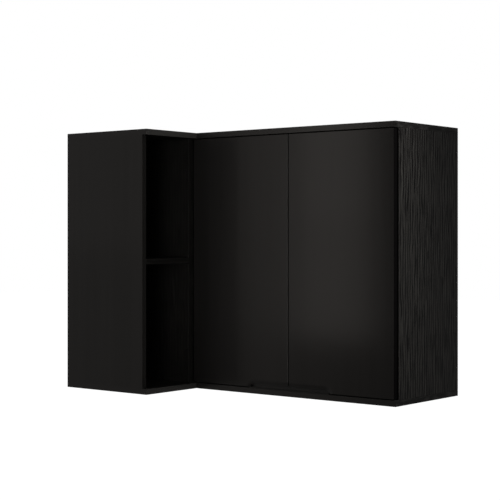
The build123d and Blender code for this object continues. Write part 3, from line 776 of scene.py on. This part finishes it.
# Hinge arms: nickel-plated strip, bent out of the cup in a hook and folded down along both sides into a
# channel that sits over the mounting plate. A rolled eye turns on the pin.
def cranked_strip():
    """A folded section carried along a path, which is the strip's outer face. The section's sides grow.

    The path runs inwards, turns by a quarter circle and runs back along the upright. The section has w across
    the strip and h in from the outer face, and its sides reach 1.5 mm plus a growing fold.
    """
    bend_radius, blade_x, hook_y = 3.0, 24.5, -9.75
    fold_depth, fold_start, fold_rise, tail_end, tail_fall = 4.0, 6.0, 9.0, 59.4, 4.0
    bend = np.linspace(0, np.pi / 2, 9)
    hook = np.stack([np.linspace(12.4, 21.0, 4), np.full(4, hook_y)], axis=1)
    turn_x = blade_x - bend_radius + bend_radius * np.sin(bend)
    turn_y = hook_y + bend_radius - bend_radius * np.cos(bend)
    folding, ending = np.linspace(fold_start, 16.0, 13), np.linspace(54.0, tail_end, 9)
    rise = np.concatenate([[-4.0, 2.0, 5.0], folding, [30.0, 44.0], ending])
    blade = np.stack([np.full(len(rise), blade_x), rise], axis=1)
    path = np.concatenate([hook, np.stack([turn_x, turn_y], axis=1), blade])
    heading = np.concatenate([np.zeros(4), bend, np.full(len(rise), np.pi / 2)])
    y = path[:, 1]
    growing = np.sqrt(np.clip((y - fold_start) / fold_rise, 0, 1))
    closing = np.sqrt(np.clip((tail_end - y) / tail_fall, 0, 1))
    fold = np.where(heading < np.pi / 2, 0.0, fold_depth * growing * closing)[:, None]
    corner = np.linspace(0, np.pi / 2, 5)
    near_w = np.concatenate([-4.0 - np.cos(corner), 4.0 + np.sin(corner)])
    near_h = np.concatenate([1.0 - np.sin(corner), 1.0 - np.cos(corner)])
    far_w = np.array([5.0, 4.7, 3.8, 3.5, 3.5, -3.5, -3.5, -3.8, -4.7, -5.0])
    far_h = np.array([1.3, 1.5, 1.5, 1.4, 1.5, 1.5, 1.4, 1.5, 1.5, 1.3])
    grows = np.array([1, 1, 1, 1, 0, 0, 1, 1, 1, 1])
    w = np.concatenate([near_w, far_w]) + 0 * fold
    h = np.concatenate([near_h + 0 * fold, far_h + grows * fold], axis=1)
    inward = np.stack([-np.sin(heading), np.cos(heading)], axis=1)
    flat = path[:, None, :] + h[:, :, None] * inward[:, None, :]
    return lofted(np.concatenate([flat, w[:, :, None]], axis=2))


# The eye is a tube: a closed section of radius and height, carried once round the pin
eye_turn = full_turn(48)[:, None]
eye_radius = np.array([1.32, 1.9, 2.08, 2.08, 1.9, 1.32])
eye_height = np.array([-5.0, -5.0, -4.8, 4.8, 5.0, 5.0]) + 0 * eye_turn
eye_x = pin_place[0] + np.cos(eye_turn) * eye_radius
eye_y = pin_place[1] + np.sin(eye_turn) * eye_radius
eye = lofted(np.stack([eye_x, eye_y, eye_height], axis=2), loop=True)
arm = cranked_strip()
for side in hinge_sides:
    arms = on_hinges(side, arm, eye)
    fitting(f"{side}_folded_arms", arms, "carcass", f"{side}_hinge_arms", nickel)


# Hinge mounting plates: pressed nickel-plated plates with two screw wings, and a rail that the arm's channel
# straddles. They are screwed to the uprights' inner faces.
wings = clipped_outline(plate_angles, half_long=23.0, low=-7.0, high=7.0, clip=3.5)
plate_radius = np.stack([wings * 0.5, wings - 0.6, wings - 0.15, wings, wings, wings * 0.5])
plate_along = column(0, 0, 0.15, 0.6, 2.0, 2.0)
plate_middle, upright_face = 39.5, 15.0
plate_place = (upright_face + 2.0, plate_middle, 0.0)
plate = turned(plate_radius, plate_along, plate_angles, plate_place, (-1, 0, 0), (0, 0, 1))
rail_low, rail_high = (upright_face + 0.2, 19.5, -3.2), (22.9, 59.2, 3.2)
rail = rounded_block(rail_low, rail_high, way=0, corner=1.2, bevel=0.5)
for side in hinge_sides:
    plates = on_hinges(side, plate, rail)
    fitting(f"{side}_winged_plates", plates, "carcass", f"{side}_hinge_plates", nickel)


# Hinge screws: zinc-plated steel with low round heads and cross slots. Two hold each plate, one clamps each
# arm, and two hold each cup's ears.
size_names = ("head_radius", "head_length", "shank_radius", "length", "pitch", "plain")
screw_sizes = {
    "plate": (3.2, 1.6, 1.7, 14.6, 1.4, 2.2),
    "arm": (3.7, 1.8, 2.3, 9.3, 0.9, 1.6),
    "cup": (3.05, 1.4, 1.6, 11.4, 1.4, 1.2),
}
screw_places = {
    "plate": [((18.6, plate_middle, z), (-1, 0, 0), (0, 1, 0)) for z in (-16.0, 16.0)],
    "arm": [((26.3, 48.5, 0.0), (-1, 0, 0), (0, 0.8, 0.6))],
    "cup": [((30.5, 2.4, z), (0, -1, 0), (0.6, 0, 0.8)) for z in (-24.0, 24.0)],
}
for side in hinge_sides:
    for kind, sizes in screw_sizes.items():
        shapes = [screw(*place, sunk=0, **dict(zip(size_names, sizes))) for place in screw_places[kind]]
        body = f"{side}_door" if kind == "cup" else "carcass"
        node = f"{side}_hinge_{kind}_screws"
        fitting(f"{side}_{kind}_screw_set", on_hinges(side, *shapes), body, node, zinc)


# Pull cups: black moulded plastic, sprayed to match the doors. Each is glued into a pocket in a door's lower
# corner, behind the rounded lip.
spray_dark, spray_light = (0.0065, 0.0061, 0.0057, 1), (0.0095, 0.0090, 0.0084, 1)
tree, close = new_finish("sprayed_cup")
grit = tree.grit(1800)
colour = tree.blend((0.5 + grit * grit_tone).clamped(), spray_dark, spray_light)
sprayed = close(grit, strength=0.1, Base_Color=colour, Roughness=0.5 + grit * 0.1, Specular_IOR_Level=0.02)
dress("left_pull_cup", sprayed)
dress("right_pull_cup", sprayed)


# Floor: a plain pale studio floor well below the cabinet, where a kitchen floor would be.
# It shows white to the camera and still takes the cabinet's soft shadow.
def seen_directly(tree):
    """1 for rays that show a surface to the camera, also by a mirror or through glass, and 0 for the rest."""
    path = tree.node("LightPath", None, None, out="Is Camera Ray")
    return (path + path.also("Is Glossy Ray") + path.also("Is Transmission Ray")).clamped()


white, floor_grey, floor_glow = (1, 1, 1, 1), (0.80, 0.80, 0.80, 1), 0.55
floor_drop, floor_half = 1.40, 30.0
floor_level = cad_box[0].z - floor_drop
floor_corners = np.array([(-1.0, -1.0), (1.0, -1.0), (1.0, 1.0), (-1.0, 1.0)]) * floor_half
floor_mesh = bpy.data.meshes.new("studio_floor")
floor_mesh.from_pydata([(x, y, floor_level) for x, y in floor_corners], [], [(0, 1, 2, 3)])
studio_floor = bpy.data.objects.new("studio_floor", floor_mesh)
bpy.context.scene.collection.objects.link(studio_floor)
floor_material = bpy.data.materials.new("pale_floor")
floor_material.use_nodes = True
floor_material.node_tree.nodes.clear()
tree = Finish(floor_material.node_tree)
diffuse = tree.node("BsdfDiffuse", None, {"Color": floor_grey})
glow = tree.node("Emission", None, {"Color": white, "Strength": seen_directly(tree) * floor_glow})
tree.node("OutputMaterial", None, {"Surface": tree.node("AddShader", None, {0: diffuse, 1: glow})})
floor_mesh.materials.append(floor_material)


# Studio light: an even pale room all round. A row of soft lamps in front is mirrored softly by the satin
# fronts, a narrow one rakes the side panel's grain, one looks into the niche, and a large one hangs above.
world = bpy.data.worlds.new("studio")
bpy.context.scene.world = world
world.use_nodes = True
world.node_tree.nodes.clear()
tree = Finish(world.node_tree)
room_light = 0.62
room_strength = room_light + seen_directly(tree) * (1 - room_light)
room = tree.node("Background", None, {"Color": white, "Strength": room_strength})
tree.node("OutputWorld", None, {"Surface": room})


def soft_lamp(name, place, aim, width, height, power, beam=180):
    """A flat soft lamp at a place, turned to a point, with its power in watts and a beam angle in degrees."""
    lamp = bpy.data.lights.new(name, "AREA")
    lamp.shape = "RECTANGLE"
    lamp.size = width
    lamp.size_y = height
    lamp.energy = power
    lamp.spread = math.radians(beam)
    thing = bpy.data.objects.new(name, lamp)
    bpy.context.scene.collection.objects.link(thing)
    way = np.array(aim) - np.array(place)
    tilt = math.atan2(way[2], math.hypot(way[0], way[1]))
    thing.location = place
    thing.visible_camera = False
    thing.rotation_euler = (math.pi / 2 + tilt, 0, math.atan2(-way[0], way[1]))


soft_lamp("door_lamp", (-0.570, -1.52, -0.005), (-0.570, 0.00, -0.005), 0.32, 1.21, 9.1)
soft_lamp("upper_lamp", (-0.570, -1.51, 0.215), (-0.570, 0.00, 0.215), 0.32, 0.77, 0.95)
soft_lamp("middle_lamp", (-0.85, -1.54, 0.00), (-0.85, 0.00, 0.00), 0.24, 1.20, 2.0)
soft_lamp("leg_lamp", (-1.42, -1.56, 0.235), (-1.42, 0.00, 0.235), 0.80, 1.03, 1.6)
soft_lamp("broad_lamp", (-1.31, -1.58, -0.20), (-1.31, 0.00, -0.20), 1.78, 2.40, 16.5)
soft_lamp("right_lamp", (0.66, -0.30, -0.21), (0.47, -0.26, -0.25), 0.06, 0.76, 1.95)
soft_lamp("fill_lamp", (0.45, -1.55, -0.20), (-0.20, -0.33, -0.20), 0.50, 0.90, 1.45, beam=30)
soft_lamp("top_lamp", (0.30, -1.20, 1.60), (0.00, -0.20, -0.20), 1.60, 1.20, 6.0)

# Camera: level, about the height of the cabinet's middle, with a long lens, as the photograph was framed.
# It looks from the right, so that the side panel shows.
view = bpy.data.cameras.new("camera")
view.sensor_width = 36.0
view.lens = 96.586
view.shift_y = -0.03004
camera = bpy.data.objects.new("camera", view)
bpy.context.scene.collection.objects.link(camera)
camera.location = (2.25414, -3.07070, -0.22959)
camera.rotation_euler = (math.pi / 2, 0, math.radians(38.9355))
bpy.context.scene.camera = camera
bpy.context.scene.view_settings.view_transform = "Standard"

bpy.context.view_layer.update()
